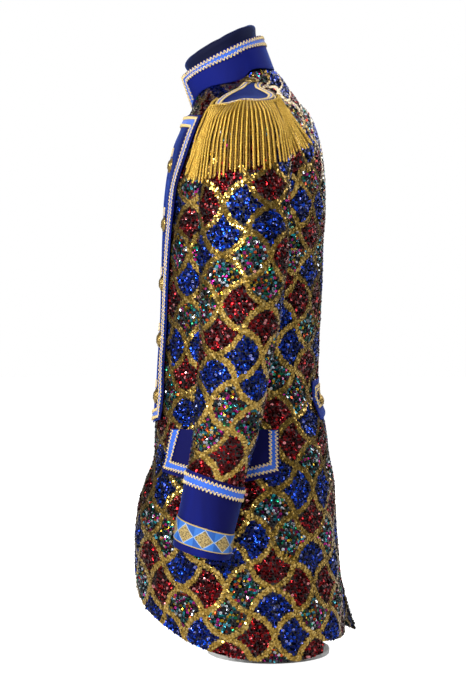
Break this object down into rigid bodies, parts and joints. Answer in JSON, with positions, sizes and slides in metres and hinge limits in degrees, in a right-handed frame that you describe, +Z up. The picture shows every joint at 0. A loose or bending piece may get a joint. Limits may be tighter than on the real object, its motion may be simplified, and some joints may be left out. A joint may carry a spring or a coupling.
{
  "type": "sequin jacket on a dress form",
  "caption": "Knee-length sequin coat with velvet stand collar, bib, cuffs and fringed epaulettes, worn by a limbless dress form.",
  "frame": {"origin": "centre of the whole outline on the floor, under the stand's base", "axes": "+Z up; the coat's front faces -Y; the wearer's left is +X"},
  "size_m": [0.572, 0.3231, 0.9214],
  "materials": {
    "sequins": "glossy sequins in gold, red, blue and mixed colours on black net",
    "blue_velvet": "soft royal-blue velvet",
    "blue_braid": "light-blue ribbon with looped gold edges",
    "gold_cord": "twisted gold bullion cord",
    "gold_metal": "polished and embossed",
    "form_velvet": "dark navy velvet cover",
    "stand_paint": "off-white satin"
  },
  "bodies": {
    "root": {"belt_braid_left": "blue_braid", "belt_braid_right": "blue_braid", "bib": "blue_velvet", "bib_braid": "blue_braid", "bib_tab_left_1": "blue_braid", "bib_tab_left_2": "blue_braid", "bib_tab_left_3": "blue_braid", "bib_tab_left_4": "blue_braid", "bib_tab_left_5": "blue_braid", "bib_tab_right_1": "blue_braid", "bib_tab_right_2": "blue_braid", "bib_tab_right_3": "blue_braid", "bib_tab_right_4": "blue_braid", "bib_tab_right_5": "blue_braid", "button_belt_left": "gold_metal", "button_belt_right": "gold_metal", "button_epaulette_left": "gold_metal", "button_epaulette_right": "gold_metal", "button_left_1": "gold_metal", "button_left_2": "gold_metal", "button_left_3": "gold_metal", "button_left_4": "gold_metal", "button_left_5": "gold_metal", "button_right_1": "gold_metal", "button_right_2": "gold_metal", "button_right_3": "gold_metal", "button_right_4": "gold_metal", "button_right_5": "gold_metal", "coat_back_left": "sequins", "coat_back_right": "sequins", "coat_front_left": "sequins", "coat_front_right": "sequins", "collar": "blue_velvet", "collar_braid": "blue_braid", "cuff_braid_left": "blue_braid", "cuff_braid_right": "blue_braid", "cuff_left": "blue_velvet", "cuff_ribbon_left": "blue_braid", "cuff_ribbon_right": "blue_braid", "cuff_right": "blue_velvet", "epaulette_braid_left": "blue_braid", "epaulette_braid_right": "blue_braid", "epaulette_left": "blue_velvet", "epaulette_right": "blue_velvet", "flap_braid_left": "blue_braid", "flap_braid_right": "blue_braid", "flap_left": "blue_velvet", "flap_right": "blue_velvet", "form_base": "stand_paint", "form_column": "stand_paint", "form_torso": "form_velvet", "fringe_left": "gold_cord", "fringe_right": "gold_cord", "half_belt": "blue_velvet", "sleeve_left": "sequins", "sleeve_right": "sequins"}
  },
  "joints": []
}
